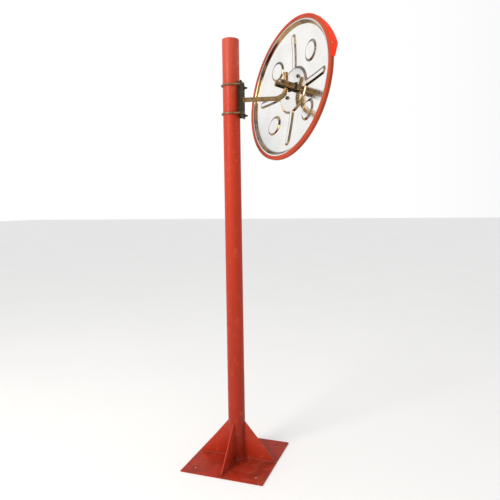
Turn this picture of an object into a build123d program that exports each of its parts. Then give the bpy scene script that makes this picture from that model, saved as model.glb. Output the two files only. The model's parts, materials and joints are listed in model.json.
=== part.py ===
"""Traffic convex mirror on a free-standing post, with a clamped arm and a tilting, panning head.

Origin: the post's axis at the underside of the base plate. +Z is up, X and Y run along the base
plate's sides. All sizes are in millimetres.
"""

from build123d import *
import math
import os

# ---- Post -----------------------------------------------------------------------------------
POST_HEIGHT = 3000.0
POLE_OD = 121.0
POLE_WALL = 4.0
CAP_THICKNESS = 3.0
CAP_ROUND = 1.5
BASE_SIDE = 600.0
BASE_THICKNESS = 8.0
BASE_CHAMFER = 1.0
ANCHOR_SPACING = 450.0
ANCHOR_HOLE_D = 22.0
GUSSET_REACH = 280.0
GUSSET_HEIGHT = 260.0
GUSSET_THICKNESS = 8.0
GUSSET_NOSE = 14.0
GUSSET_TIP = 5.0
GUSSET_NOTCH = 12.0
WELD_LEG = 8.0

# ---- Bracket on the pole --------------------------------------------------------------------
ARM_AZIMUTH = 12.0
ARM_HEIGHT = 2574.0
BRACKET_GAP = 0.4
ROD_D = 12.0
ROD_HOLE_D = 13.5
ROD_PAST_PLATE = 22.0
ROD_WASHER_BORE = 13.0
ROD_WASHER_OD = 24.0
ROD_WASHER = 2.5
ROD_NUT_FLATS = 18.0
ROD_NUT = 10.0
NUT_BORE_CLEARANCE = 0.2
U_BOLT_SPREAD = 200.0
PLATE_FACE = 76.0
PLATE_THICKNESS = 8.0
PLATE_WIDTH = 158.0
PLATE_LENGTH = 250.0
PLATE_CORNER = 10.0
SADDLE_WIDTH = 64.0
SADDLE_WALL = 6.0
ARM_OD = 32.0
ARM_WALL = 3.0
ARM_REACH = 391.0
ARM_BEND = 72.0
ARM_WELD_LEG = 6.0
STUB_CAP = 3.0
STUB_PLUG = 15.0
PLUG_CLEARANCE = 0.1
STUB_TOP = 2754.0

# ---- Swivel on the arm's stub ---------------------------------------------------------------
TILT_HEIGHT = 2666.0
COLLAR_OD = 54.0
COLLAR_HEIGHT = 36.0
COLLAR_FLATS = 56.0
COLLAR_FLAT_WIDTH = 30.0
STUB_CLEARANCE = 0.05
TRUNNION_D = 16.0
FACE_GAP = 0.2
EAR_REACH = 42.0
EAR_HALF_WIDTH = 12.0
EAR_HEIGHT = 28.0
PINCH_SLIT = 3.0
PINCH_BOLT_D = 8.0
PINCH_OFFSET = 33.5
PINCH_BOLT_LENGTH = 36.0
PINCH_FLATS = 13.0
PINCH_HEAD = 5.3
PINCH_NUT = 6.5
PINCH_WASHER_OD = 16.0
PINCH_WASHER = 1.6
BOLT_HOLE_CLEARANCE = 0.4

# ---- Mirror head ----------------------------------------------------------------------------
FRONT_AZIMUTH = 48.6
FRONT_DROOP = 9.0
HEAD_ROLL = 6.5
STEM_ABOVE_CENTRE = 20.0
HUB_TO_TILT = 56.0
STEM_LENGTH = 122.0
YOKE_HEIGHT = 42.0
YOKE_EDGE = 3.0
YOKE_MIDDLE = 20.0
YOKE_CORNER = 6.0
FOOT_WIDTH = 106.0
FOOT_HEIGHT = 52.0
FOOT_THICKNESS = 6.0
FOOT_BOLT_D = 12.0
FOOT_BOLT_OFFSET = 14.0
FOOT_CORNER = 6.0
FOOT_FLATS = 18.0
FOOT_HEAD = 7.5
FOOT_NUT = 10.0
FOOT_PAST_NUT = 1.0
HOLE_CLEARANCE = 1.0
CROSS_BOLT_D = 10.0
CROSS_BOLT_BACK = 54.0
SPACER_OD = 18.0
SEAT_DEPTH = 3.2
SEAT_OD = 22.0
CROSS_FLATS = 17.0
CROSS_HEAD = 6.4
CROSS_NUT = 8.0
CROSS_WASHER_OD = 20.0
CROSS_WASHER = 2.0
CROSS_PAST_SEAT = 18.0
MIRROR_RADIUS = 500.0
MIRROR_CURVE = 2200.0
MIRROR_EDGE = 19.5
SHEET = 1.0
BACK_CURVE = 2600.0
BACK_FLOOR_RADIUS = 455.0
BACK_FLOOR_EDGE = 26.0
BACK_FLANGE_RADIUS = 470.0
BACK_FLANGE = 3.0
PRESSING_MARGIN = 15.0
HOLLOW_ROOF = 5.0
EMBOSS_HEIGHT = 8.0
HUB_RADIUS = 172.0
RIB_WIDTH = 60.0
RIB_REACH = 415.0
BOSS_RADIUS = 76.0
BOSS_CIRCLE = 298.0
BACKING_RADIUS = 112.0
BACKING_THICKNESS = 4.0
HUB_BOLT_D = 12.0
HUB_BOLT_CIRCLE = 174.0
HUB_BOLT_ANGLE = 130.0
HUB_FLATS = 19.0
HUB_HEAD = 7.5
HUB_NUT = 10.0
HUB_WASHER_OD = 30.0
HUB_WASHER = 2.5
HUB_PAST_NUT = 3.0
EDGING_OUTER = 510.0
EDGING_INNER = 482.0
EDGING_LIP = 488.0
EDGING_DEPTH = 25.5
EDGING_WEB = 2.7
EDGING_ROUND = 5.0
EDGING_CLEARANCE = 0.4
VISOR_GAP = 0.3
VISOR_THICKNESS = 2.5
VISOR_BACK = 5.0
VISOR_FRONT = 96.0
VISOR_STRAIGHT = 26.0
VISOR_TAPER = 32.0
VISOR_BELLY = 11.0
VISOR_END = 36.0
VISOR_TIP_LOW = (73.0, 54.0)
VISOR_TIP_HIGH = (140.0, 93.0)
VISOR_SIDE = 24.0
VISOR_SWEEP_LOW = (1.0, 0.6)
VISOR_SWEEP_HIGH = (1.0, 0.75)
VISOR_TRIM_ABOVE = 5.0
VISOR_TRIM_PAST = 10.0
RIVET_ANGLES = (-75.0, -50.0, -25.0, 0.0, 25.0, 50.0, 75.0)
RIVET_D = 4.8
RIVET_HOLE_D = 5.0
RIVET_DEPTH = 12.0
RIVET_HEAD_D = 9.6
RIVET_HEAD = 1.4
RIVET_TAIL = 4.0
RIVET_TAIL_D = 7.6
RIVET_TAIL_GAP = 0.2

# ---- Cutting tools and tolerances ------------------------------------------------------------
CUT_PAST = 1.0
CUT_DEPTH = 200.0
CUT_REACH = 600.0
SAME_SIZE = 0.1

POLE_R = POLE_OD / 2
ARM_R = ARM_OD / 2
PLATE_OUT = PLATE_FACE + PLATE_THICKNESS
LEG_OFFSET = POLE_R + BRACKET_GAP + ROD_D / 2
BARREL = COLLAR_FLATS / 2 + FACE_GAP


def direction(azimuth, elevation=0.0):
    """Unit vector at an azimuth from +X and an elevation above the ground."""
    a, e = math.radians(azimuth), math.radians(elevation)
    return Vector(math.cos(e) * math.cos(a), math.cos(e) * math.sin(a), math.sin(e))


# The bracket's frame: x runs out along the arm, y to its left, z up, with z = 0 at the arm.
BRACKET = Plane(origin=(0, 0, ARM_HEIGHT), x_dir=direction(ARM_AZIMUTH), z_dir=(0, 0, 1))
ARM_SIDE = Plane(origin=BRACKET.origin, x_dir=BRACKET.x_dir, z_dir=-BRACKET.y_dir)

# The stem's frame: z runs along the mirror's front normal, y up, x level; its origin is the
# point where the tilt axis crosses the stub's axis.
TILT_POINT = direction(ARM_AZIMUTH) * ARM_REACH + Vector(0, 0, TILT_HEIGHT)
NORMAL = direction(FRONT_AZIMUTH, -FRONT_DROOP)
LEVEL = direction(FRONT_AZIMUTH + 90.0)
STEM = Plane(origin=TILT_POINT, x_dir=LEVEL, z_dir=NORMAL)
STEM_SIDE_VIEW = Plane(origin=TILT_POINT, x_dir=STEM.z_dir, z_dir=-STEM.x_dir)

# The collar's frame is level: z up along the stub, y towards the mirror, x along the tilt axis.
COLLAR = Plane(origin=TILT_POINT, x_dir=-LEVEL, z_dir=(0, 0, 1))
COLLAR_ACROSS = Plane(origin=TILT_POINT, x_dir=COLLAR.y_dir, z_dir=COLLAR.x_dir)

# The head's frame: origin at the centre of the rim's back, z to the front, y to the crown of
# the visor, which sits rolled a little against the stem.
HUB_FACE = BACK_FLOOR_EDGE - EMBOSS_HEIGHT + (
    math.sqrt(BACK_CURVE**2 - HUB_RADIUS**2) - math.sqrt(BACK_CURVE**2 - BACK_FLOOR_RADIUS**2)
)
HEAD_ORIGIN = TILT_POINT + NORMAL * (HUB_TO_TILT - HUB_FACE) - STEM.y_dir * STEM_ABOVE_CENTRE
HEAD = Plane(
    origin=HEAD_ORIGIN,
    x_dir=STEM.x_dir.rotate(Axis((0, 0, 0), NORMAL), -HEAD_ROLL),
    z_dir=NORMAL,
)
HEAD_PROFILE = Plane(origin=HEAD.origin, x_dir=HEAD.x_dir, z_dir=-HEAD.y_dir)
HEAD_SIDE = Plane(origin=HEAD.origin, x_dir=HEAD.y_dir, z_dir=HEAD.x_dir)
HEAD_AXIS = Axis(HEAD.origin, HEAD.z_dir)


def save(part, name):
    """Label one finished piece and write it as its own STEP file."""
    part.label = name
    export_step(part, f"parts/{name}.step")


def head_radial(angle, height):
    """Plane on the head's axis whose z points outwards at an angle from the crown."""
    turn = math.radians(angle)
    outward = HEAD.y_dir * math.cos(turn) + HEAD.x_dir * math.sin(turn)
    return Plane(origin=HEAD.origin + HEAD.z_dir * height, x_dir=HEAD.z_dir, z_dir=outward)


def sphere_height(radius, curve, edge_radius):
    """Rise of a spherical cap at a radius, above its height at the edge radius."""
    return math.sqrt(curve**2 - radius**2) - math.sqrt(curve**2 - edge_radius**2)


def back_height(radius, shift=0.0):
    """Height of the back plate's rear face at a radius, shifted along the head's axis."""
    return BACK_FLOOR_EDGE + sphere_height(radius, BACK_CURVE, BACK_FLOOR_RADIUS) + shift


def mirror_height(radius, shift=0.0):
    """Height of the mirror's front face at a radius, shifted along the head's axis."""
    return MIRROR_EDGE + sphere_height(radius, MIRROR_CURVE, MIRROR_RADIUS) + shift


def hexagon_radius(across_flats):
    """Corner radius of a hexagon from its width across flats."""
    return across_flats / math.sqrt(3)


def fastener(plane, spots, shank_d, shank_length, head_flats, head_height):
    """Hexagon-head bolts: heads on the plane, shanks running back along its -z."""
    with BuildPart() as bolts:
        with BuildSketch(plane):
            with Locations(*spots):
                RegularPolygon(hexagon_radius(head_flats), 6)
        extrude(amount=head_height)
        with BuildSketch(plane):
            with Locations(*spots):
                Circle(shank_d / 2)
        extrude(amount=-shank_length)
    return bolts.part


def hexagon_nuts(plane, spots, bore_d, flats, height):
    """Hexagon nuts standing on the plane, bored to clear their bolt."""
    with BuildPart() as nuts:
        with BuildSketch(plane):
            with Locations(*spots):
                RegularPolygon(hexagon_radius(flats), 6)
                Circle(bore_d / 2, mode=Mode.SUBTRACT)
        extrude(amount=height)
    return nuts.part


def flat_washers(plane, spots, bore_d, outer_d, thickness):
    """Plain washers lying on the plane."""
    with BuildPart() as washers:
        with BuildSketch(plane):
            with Locations(*spots):
                Circle(outer_d / 2)
                Circle(bore_d / 2, mode=Mode.SUBTRACT)
        extrude(amount=thickness)
    return washers.part


os.makedirs("parts", exist_ok=True)

# ---- Base plate -----------------------------------------------------------------------------
with BuildPart() as base_plate:
    with BuildSketch(Plane.XY):
        Rectangle(BASE_SIDE, BASE_SIDE)
    extrude(amount=BASE_THICKNESS)
    with Locations(base_plate.faces().sort_by(Axis.Z)[-1]):
        with GridLocations(ANCHOR_SPACING, ANCHOR_SPACING, 2, 2):
            Hole(ANCHOR_HOLE_D / 2)
    chamfer(base_plate.faces().sort_by(Axis.Z)[-1].outer_wire().edges(), BASE_CHAMFER)
save(base_plate.part, "base_plate")

# ---- Pole and its cap -----------------------------------------------------------------------
with BuildPart() as pole_tube:
    with BuildSketch(Plane.XY.offset(BASE_THICKNESS)):
        Circle(POLE_R)
        Circle(POLE_R - POLE_WALL, mode=Mode.SUBTRACT)
    extrude(amount=POST_HEIGHT - BASE_THICKNESS - CAP_THICKNESS)
save(pole_tube.part, "pole_tube")

with BuildPart() as pole_cap:
    with BuildSketch(Plane.XY.offset(POST_HEIGHT - CAP_THICKNESS)):
        Circle(POLE_R)
    extrude(amount=CAP_THICKNESS)
    fillet(pole_cap.faces().sort_by(Axis.Z)[-1].edges(), CAP_ROUND)
save(pole_cap.part, "pole_cap")

# ---- Gussets: one upright triangular plate towards the middle of each side -------------------
for gusset_name, azimuth in (
    ("gusset_right", 0.0),
    ("gusset_back", 90.0),
    ("gusset_left", 180.0),
    ("gusset_front", 270.0),
):
    side_view = Plane(
        origin=(0, 0, BASE_THICKNESS), x_dir=direction(azimuth), z_dir=-direction(azimuth + 90.0)
    )
    with BuildPart() as gusset:
        with BuildSketch(side_view):
            with BuildLine():
                Polyline(
                    (POLE_R, GUSSET_NOTCH),
                    (POLE_R + GUSSET_NOTCH, 0.0),
                    (GUSSET_REACH, 0.0),
                    (GUSSET_REACH, GUSSET_NOSE),
                    (POLE_R + GUSSET_TIP, GUSSET_HEIGHT),
                    (POLE_R, GUSSET_HEIGHT),
                    close=True,
                )
            make_face()
        extrude(amount=GUSSET_THICKNESS / 2, both=True)
    save(gusset.part, gusset_name)

# ---- Fillet weld round the foot of the pole --------------------------------------------------
with BuildPart() as pole_weld:
    with BuildSketch(Plane.XZ):
        with BuildLine():
            weld_toe = (POLE_R + WELD_LEG, BASE_THICKNESS)
            weld_top = (POLE_R, BASE_THICKNESS + WELD_LEG)
            Line(weld_top, (POLE_R, BASE_THICKNESS))
            Line((POLE_R, BASE_THICKNESS), weld_toe)
            Line(weld_toe, weld_top)
        make_face()
    revolve(axis=Axis.Z)
save(pole_weld.part, "pole_weld")

# ---- U-bolts round the pole ------------------------------------------------------------------
LEG_END = PLATE_OUT + ROD_PAST_PLATE
LEG_SPOTS = [
    (LEG_OFFSET * side, U_BOLT_SPREAD / 2 * level) for side in (-1, 1) for level in (-1, 1)
]
for u_bolt_name, level in (("u_bolt_upper", 1), ("u_bolt_lower", -1)):
    rod_plane = BRACKET.offset(U_BOLT_SPREAD / 2 * level)
    with BuildPart() as u_bolt:
        with BuildLine(rod_plane) as rod_path:
            Line((LEG_END, -LEG_OFFSET), (0, -LEG_OFFSET))
            ThreePointArc((0, -LEG_OFFSET), (-LEG_OFFSET, 0), (0, LEG_OFFSET))
            Line((0, LEG_OFFSET), (LEG_END, LEG_OFFSET))
        with BuildSketch(Plane(origin=rod_path.line @ 0, z_dir=rod_path.line % 0)):
            Circle(ROD_D / 2)
        sweep()
    save(u_bolt.part, u_bolt_name)

# ---- Bracket plate, with the saddle that bears on the pole -----------------------------------
PLATE_FRONT = Plane(
    origin=BRACKET.origin + BRACKET.x_dir * PLATE_OUT, x_dir=BRACKET.y_dir, z_dir=BRACKET.x_dir
)
with BuildPart() as bracket_plate:
    with BuildSketch(PLATE_FRONT):
        RectangleRounded(PLATE_WIDTH, PLATE_LENGTH, PLATE_CORNER)
        with Locations(*LEG_SPOTS):
            Circle(ROD_HOLE_D / 2, mode=Mode.SUBTRACT)
    extrude(amount=-PLATE_THICKNESS)
save(bracket_plate.part, "bracket_plate")

with BuildPart() as saddle_channel:
    flange_inner = SADDLE_WIDTH / 2 - SADDLE_WALL
    flange_start = math.sqrt(POLE_R**2 - flange_inner**2) + BRACKET_GAP
    with BuildSketch(BRACKET):
        with Locations((PLATE_FACE - SADDLE_WALL / 2, 0)):
            Rectangle(SADDLE_WALL, SADDLE_WIDTH)
        for side in (-1, 1):
            with Locations(((PLATE_FACE + flange_start) / 2, side * (flange_inner + SADDLE_WALL / 2))):
                Rectangle(PLATE_FACE - flange_start, SADDLE_WALL)
    extrude(amount=PLATE_LENGTH / 2, both=True)
save(saddle_channel.part, "saddle_channel")

# ---- Nuts and washers of the U-bolts ---------------------------------------------------------
save(
    flat_washers(PLATE_FRONT, LEG_SPOTS, ROD_WASHER_BORE, ROD_WASHER_OD, ROD_WASHER),
    "u_bolt_washers",
)
save(
    hexagon_nuts(
        PLATE_FRONT.offset(ROD_WASHER), LEG_SPOTS, ROD_D + NUT_BORE_CLEARANCE, ROD_NUT_FLATS, ROD_NUT
    ),
    "u_bolt_nuts",
)

# ---- Arm pipe: level run, quarter bend and upright stub --------------------------------------
STUB_END = STUB_TOP - STUB_CAP - ARM_HEIGHT
with BuildPart() as arm_pipe:
    with BuildLine(ARM_SIDE) as arm_path:
        bend_start = (ARM_REACH - ARM_BEND, 0)
        bend_end = (ARM_REACH, ARM_BEND)
        Line((PLATE_OUT, 0), bend_start)
        RadiusArc(bend_start, bend_end, -ARM_BEND)
        Line(bend_end, (ARM_REACH, STUB_END))
    with BuildSketch(Plane(origin=arm_path.line @ 0, z_dir=arm_path.line % 0)):
        Circle(ARM_R)
        Circle(ARM_R - ARM_WALL, mode=Mode.SUBTRACT)
    sweep()
save(arm_pipe.part, "arm_pipe")

with BuildPart() as arm_weld:
    with BuildSketch(ARM_SIDE):
        with BuildLine():
            Polyline(
                (PLATE_OUT, ARM_R),
                (PLATE_OUT + ARM_WELD_LEG, ARM_R),
                (PLATE_OUT, ARM_R + ARM_WELD_LEG),
                close=True,
            )
        make_face()
    revolve(axis=Axis(ARM_SIDE.origin, ARM_SIDE.x_dir))
save(arm_weld.part, "arm_weld")

STUB_TOP_PLANE = Plane(
    origin=(TILT_POINT.X, TILT_POINT.Y, STUB_TOP - STUB_CAP), x_dir=BRACKET.x_dir, z_dir=(0, 0, 1)
)
with BuildPart() as arm_end_cap:
    with BuildSketch(STUB_TOP_PLANE):
        Circle(ARM_R)
    extrude(amount=STUB_CAP)
    fillet(arm_end_cap.faces().sort_by(Axis.Z)[-1].edges(), CAP_ROUND)
    with BuildSketch(STUB_TOP_PLANE):
        Circle(ARM_R - ARM_WALL - PLUG_CLEARANCE)
    extrude(amount=-STUB_PLUG)
save(arm_end_cap.part, "arm_end_cap")

# ---- Stub collar: bored block with two trunnions and a pinched ear ---------------------------
with BuildPart() as stub_collar:
    with BuildSketch(COLLAR):
        Circle(COLLAR_OD / 2)
        Rectangle(COLLAR_FLATS, COLLAR_FLAT_WIDTH)
        with Locations((0, -EAR_REACH / 2)):
            Rectangle(2 * EAR_HALF_WIDTH, EAR_REACH)
    extrude(amount=EAR_HEIGHT / 2, both=True)
    with BuildSketch(COLLAR):
        Circle(COLLAR_OD / 2)
        Rectangle(COLLAR_FLATS, COLLAR_FLAT_WIDTH)
    extrude(amount=COLLAR_HEIGHT / 2, both=True)
    with BuildSketch(COLLAR_ACROSS):
        Circle(TRUNNION_D / 2)
    extrude(amount=BARREL + YOKE_MIDDLE, both=True)
    with BuildSketch(COLLAR):
        Circle(ARM_R + STUB_CLEARANCE)
        with Locations((0, -ARM_R / 2 - EAR_REACH / 2)):
            Rectangle(PINCH_SLIT, EAR_REACH)
    extrude(amount=COLLAR_HEIGHT / 2, both=True, mode=Mode.SUBTRACT)
    with BuildSketch(COLLAR_ACROSS):
        with Locations((-PINCH_OFFSET, 0)):
            Circle(PINCH_BOLT_D / 2 + BOLT_HOLE_CLEARANCE)
    extrude(amount=EAR_HALF_WIDTH, both=True, mode=Mode.SUBTRACT)
save(stub_collar.part, "stub_collar")

PINCH_SPOT = [(-PINCH_OFFSET, 0)]
EAR_FACE = COLLAR_ACROSS.offset(EAR_HALF_WIDTH)
EAR_BACK = Plane(
    origin=COLLAR_ACROSS.origin - COLLAR_ACROSS.z_dir * EAR_HALF_WIDTH,
    x_dir=COLLAR_ACROSS.x_dir,
    z_dir=-COLLAR_ACROSS.z_dir,
)
save(
    fastener(
        EAR_FACE.offset(PINCH_WASHER),
        PINCH_SPOT,
        PINCH_BOLT_D,
        PINCH_BOLT_LENGTH,
        PINCH_FLATS,
        PINCH_HEAD,
    ),
    "pinch_bolt",
)
save(
    hexagon_nuts(
        EAR_BACK.offset(PINCH_WASHER),
        PINCH_SPOT,
        PINCH_BOLT_D + NUT_BORE_CLEARANCE,
        PINCH_FLATS,
        PINCH_NUT,
    ),
    "pinch_nut",
)
with BuildPart() as pinch_washers:
    for ear_plane in (EAR_FACE, EAR_BACK):
        with BuildSketch(ear_plane):
            with Locations(*PINCH_SPOT):
                Circle(PINCH_WASHER_OD / 2)
                Circle((PINCH_BOLT_D + BOLT_HOLE_CLEARANCE) / 2, mode=Mode.SUBTRACT)
        extrude(amount=PINCH_WASHER)
save(pinch_washers.part, "pinch_washers")

# ---- Yoke: two half-round bars either side of the collar -------------------------------------
YOKE_FRONT = HUB_TO_TILT - FOOT_THICKNESS
YOKE_BACK = HUB_TO_TILT - STEM_LENGTH
YOKE_BULGE = YOKE_MIDDLE - YOKE_EDGE
YOKE_FACE = BARREL + YOKE_MIDDLE
SEAT_FACE = YOKE_FACE - SEAT_DEPTH
CROSS_SPOT = [(-CROSS_BOLT_BACK, 0)]
for yoke_name, side in (("yoke_bar_left", 1), ("yoke_bar_right", -1)):
    section = Plane(
        origin=STEM.origin + STEM.z_dir * YOKE_BACK, x_dir=STEM.x_dir * side, z_dir=STEM.z_dir * side
    )
    run = (YOKE_FRONT - YOKE_BACK) * side
    with BuildPart() as yoke_bar:
        with BuildSketch(section):
            with BuildLine():
                edge_x = BARREL + YOKE_EDGE
                half = YOKE_HEIGHT / 2
                Line((edge_x, -half), (BARREL, -half))
                Line((BARREL, -half), (BARREL, half))
                Line((BARREL, half), (edge_x, half))
                ThreePointArc((edge_x, half), (edge_x + YOKE_BULGE, 0), (edge_x, -half))
            make_face()
        extrude(amount=run)
        back_corners = yoke_bar.edges().filter_by(Axis(STEM.origin, STEM.x_dir)).filter_by(
            lambda e: abs(STEM.to_local_coords(e.center()).Z - YOKE_BACK) < SAME_SIZE
        )
        fillet(back_corners, YOKE_CORNER)
        with BuildSketch(STEM_SIDE_VIEW):
            Circle(TRUNNION_D / 2 + STUB_CLEARANCE)
            with Locations(*CROSS_SPOT):
                Circle(CROSS_BOLT_D / 2 + BOLT_HOLE_CLEARANCE)
        extrude(amount=-side * (YOKE_FACE + CUT_PAST), mode=Mode.SUBTRACT)
        with BuildSketch(STEM_SIDE_VIEW.offset(-side * SEAT_FACE)):
            with Locations(*CROSS_SPOT):
                Circle(SEAT_OD / 2)
        extrude(amount=-side * (SEAT_DEPTH + CUT_PAST), mode=Mode.SUBTRACT)
    save(yoke_bar.part, yoke_name)

with BuildPart() as cross_spacer:
    with BuildSketch(STEM_SIDE_VIEW):
        with Locations(*CROSS_SPOT):
            Circle(SPACER_OD / 2)
            Circle((CROSS_BOLT_D + BOLT_HOLE_CLEARANCE) / 2, mode=Mode.SUBTRACT)
    extrude(amount=BARREL, both=True)
save(cross_spacer.part, "cross_spacer")

SEAT_RIGHT = STEM_SIDE_VIEW.offset(SEAT_FACE)
SEAT_LEFT = Plane(
    origin=STEM.origin + STEM.x_dir * SEAT_FACE, x_dir=STEM.z_dir, z_dir=STEM.x_dir
)
save(
    fastener(
        SEAT_RIGHT.offset(CROSS_WASHER),
        CROSS_SPOT,
        CROSS_BOLT_D,
        2 * SEAT_FACE + CROSS_PAST_SEAT,
        CROSS_FLATS,
        CROSS_HEAD,
    ),
    "cross_bolt",
)
save(
    hexagon_nuts(
        SEAT_LEFT.offset(CROSS_WASHER),
        CROSS_SPOT,
        CROSS_BOLT_D + NUT_BORE_CLEARANCE,
        CROSS_FLATS,
        CROSS_NUT,
    ),
    "cross_nut",
)
with BuildPart() as cross_washers:
    for seat_plane in (SEAT_RIGHT, SEAT_LEFT):
        with BuildSketch(seat_plane):
            with Locations(*CROSS_SPOT):
                Circle(CROSS_WASHER_OD / 2)
                Circle((CROSS_BOLT_D + BOLT_HOLE_CLEARANCE) / 2, mode=Mode.SUBTRACT)
        extrude(amount=CROSS_WASHER)
save(cross_washers.part, "cross_washers")

# ---- Yoke foot, bolted through the hub into the backing plate --------------------------------
HUB_OUTSIDE = Plane(origin=STEM.origin + STEM.z_dir * HUB_TO_TILT, x_dir=STEM.x_dir, z_dir=-NORMAL)
FOOT_SPOTS = [(0, FOOT_BOLT_OFFSET), (0, -FOOT_BOLT_OFFSET)]
with BuildPart() as yoke_foot:
    with BuildSketch(HUB_OUTSIDE):
        RectangleRounded(FOOT_WIDTH, FOOT_HEIGHT, FOOT_CORNER)
        with Locations(*FOOT_SPOTS):
            Circle((FOOT_BOLT_D + HOLE_CLEARANCE) / 2, mode=Mode.SUBTRACT)
    extrude(amount=FOOT_THICKNESS)
save(yoke_foot.part, "yoke_foot")

FOOT_BOLT_LENGTH = FOOT_THICKNESS + SHEET + BACKING_THICKNESS + FOOT_NUT + FOOT_PAST_NUT
save(
    fastener(
        HUB_OUTSIDE.offset(FOOT_THICKNESS),
        FOOT_SPOTS,
        FOOT_BOLT_D,
        FOOT_BOLT_LENGTH,
        FOOT_FLATS,
        FOOT_HEAD,
    ),
    "foot_bolts",
)
BACKING_INSIDE = Plane(
    origin=HUB_OUTSIDE.origin + NORMAL * (SHEET + BACKING_THICKNESS),
    x_dir=STEM.x_dir,
    z_dir=NORMAL,
)
save(
    hexagon_nuts(
        BACKING_INSIDE, FOOT_SPOTS, FOOT_BOLT_D + NUT_BORE_CLEARANCE, FOOT_FLATS, FOOT_NUT
    ),
    "foot_weld_nuts",
)

# ---- Hub bolts and the backing plate inside the head -----------------------------------------
HUB_BOLT_SPOTS = [
    (
        HUB_BOLT_CIRCLE / 2 * math.cos(math.radians(HUB_BOLT_ANGLE + half_turn)),
        HUB_BOLT_CIRCLE / 2 * math.sin(math.radians(HUB_BOLT_ANGLE + half_turn)),
    )
    for half_turn in (0, 180)
]
with BuildPart() as hub_backing_plate:
    with BuildSketch(STEM.offset(HUB_TO_TILT + SHEET)):
        Circle(BACKING_RADIUS)
        with Locations(*HUB_BOLT_SPOTS):
            Circle((HUB_BOLT_D + HOLE_CLEARANCE) / 2, mode=Mode.SUBTRACT)
        with Locations(*FOOT_SPOTS):
            Circle((FOOT_BOLT_D + HOLE_CLEARANCE) / 2, mode=Mode.SUBTRACT)
    extrude(amount=BACKING_THICKNESS)
save(hub_backing_plate.part, "hub_backing_plate")

HUB_BACK = Plane(origin=HUB_OUTSIDE.origin, x_dir=-STEM.x_dir, z_dir=-NORMAL)
HUB_BACK_SPOTS = [(-x, y) for x, y in HUB_BOLT_SPOTS]
HUB_BOLT_LENGTH = BACKING_THICKNESS + SHEET + HUB_WASHER + HUB_NUT + HUB_PAST_NUT
save(
    fastener(BACKING_INSIDE, HUB_BOLT_SPOTS, HUB_BOLT_D, HUB_BOLT_LENGTH, HUB_FLATS, HUB_HEAD),
    "hub_bolts",
)
save(
    flat_washers(
        HUB_BACK,
        HUB_BACK_SPOTS,
        HUB_BOLT_D + BOLT_HOLE_CLEARANCE,
        HUB_WASHER_OD,
        HUB_WASHER,
    ),
    "hub_washers",
)
save(
    hexagon_nuts(
        HUB_BACK.offset(HUB_WASHER),
        HUB_BACK_SPOTS,
        HUB_BOLT_D + NUT_BORE_CLEARANCE,
        HUB_FLATS,
        HUB_NUT,
    ),
    "hub_nuts",
)

# ---- Back plate: pressed dish with a raised hub, four ribs and four bosses -------------------
HALF_WAY = MIRROR_RADIUS / 2
PRESSING_EDGE = BACK_FLOOR_RADIUS - PRESSING_MARGIN


def emboss_outline(plane, inset):
    """Solid prism over the raised hub, ribs and bosses, drawn in by an inset."""
    with BuildPart() as prism:
        with BuildSketch(plane):
            Circle(HUB_RADIUS - inset)
            with PolarLocations((RIB_REACH - RIB_WIDTH / 2) / 2, 4):
                SlotCenterToCenter(RIB_REACH - RIB_WIDTH / 2, RIB_WIDTH - 2 * inset)
            with PolarLocations(BOSS_CIRCLE, 4, start_angle=45):
                Circle(BOSS_RADIUS - inset)
        extrude(amount=CUT_DEPTH)
    return prism.part


def pressing_zone(lift, roof):
    """Solid of revolution from the raised rear face, lifted by the sheet, up to the roof shift."""
    hub_level = HUB_FACE + lift
    with BuildPart() as zone:
        with BuildSketch(HEAD_PROFILE):
            with BuildLine():
                outer = PRESSING_EDGE
                middle = (HUB_RADIUS + outer) / 2
                raised = lift - EMBOSS_HEIGHT
                Line((0, back_height(0, roof)), (0, hub_level))
                Line((0, hub_level), (HUB_RADIUS, hub_level))
                ThreePointArc(
                    (HUB_RADIUS, hub_level),
                    (middle, back_height(middle, raised)),
                    (outer, back_height(outer, raised)),
                )
                Line((outer, back_height(outer, raised)), (outer, back_height(outer, roof)))
                ThreePointArc(
                    (outer, back_height(outer, roof)),
                    (outer / 2, back_height(outer / 2, roof)),
                    (0, back_height(0, roof)),
                )
            make_face()
        revolve(axis=HEAD_AXIS)
    return zone.part


raised_skin = pressing_zone(0.0, SHEET / 2) & emboss_outline(HEAD, 0.0)
raised_hollow = pressing_zone(SHEET, SHEET + HOLLOW_ROOF) & emboss_outline(HEAD, SHEET)

with BuildPart() as back_plate:
    with BuildSketch(HEAD_PROFILE):
        with BuildLine():
            floor_rear = (BACK_FLOOR_RADIUS, back_height(BACK_FLOOR_RADIUS))
            floor_front = (BACK_FLOOR_RADIUS + SHEET, back_height(BACK_FLOOR_RADIUS) + SHEET)
            Line((0, back_height(0, SHEET)), (0, back_height(0)))
            ThreePointArc((0, back_height(0)), (HALF_WAY, back_height(HALF_WAY)), floor_rear)
            Polyline(
                floor_rear,
                (BACK_FLANGE_RADIUS, BACK_FLANGE),
                (MIRROR_RADIUS, BACK_FLANGE),
                (MIRROR_RADIUS, BACK_FLANGE + SHEET),
                (BACK_FLANGE_RADIUS + SHEET, BACK_FLANGE + SHEET),
                floor_front,
            )
            ThreePointArc(
                floor_front, (HALF_WAY, back_height(HALF_WAY, SHEET)), (0, back_height(0, SHEET))
            )
        make_face()
    revolve(axis=HEAD_AXIS)
    add(raised_skin)
    add(raised_hollow, mode=Mode.SUBTRACT)
    with BuildSketch(STEM):
        with Locations(*HUB_BOLT_SPOTS):
            Circle((HUB_BOLT_D + HOLE_CLEARANCE) / 2)
        with Locations(*FOOT_SPOTS):
            Circle((FOOT_BOLT_D + HOLE_CLEARANCE) / 2)
    extrude(amount=CUT_DEPTH, mode=Mode.SUBTRACT)
save(back_plate.part, "back_plate")

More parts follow.
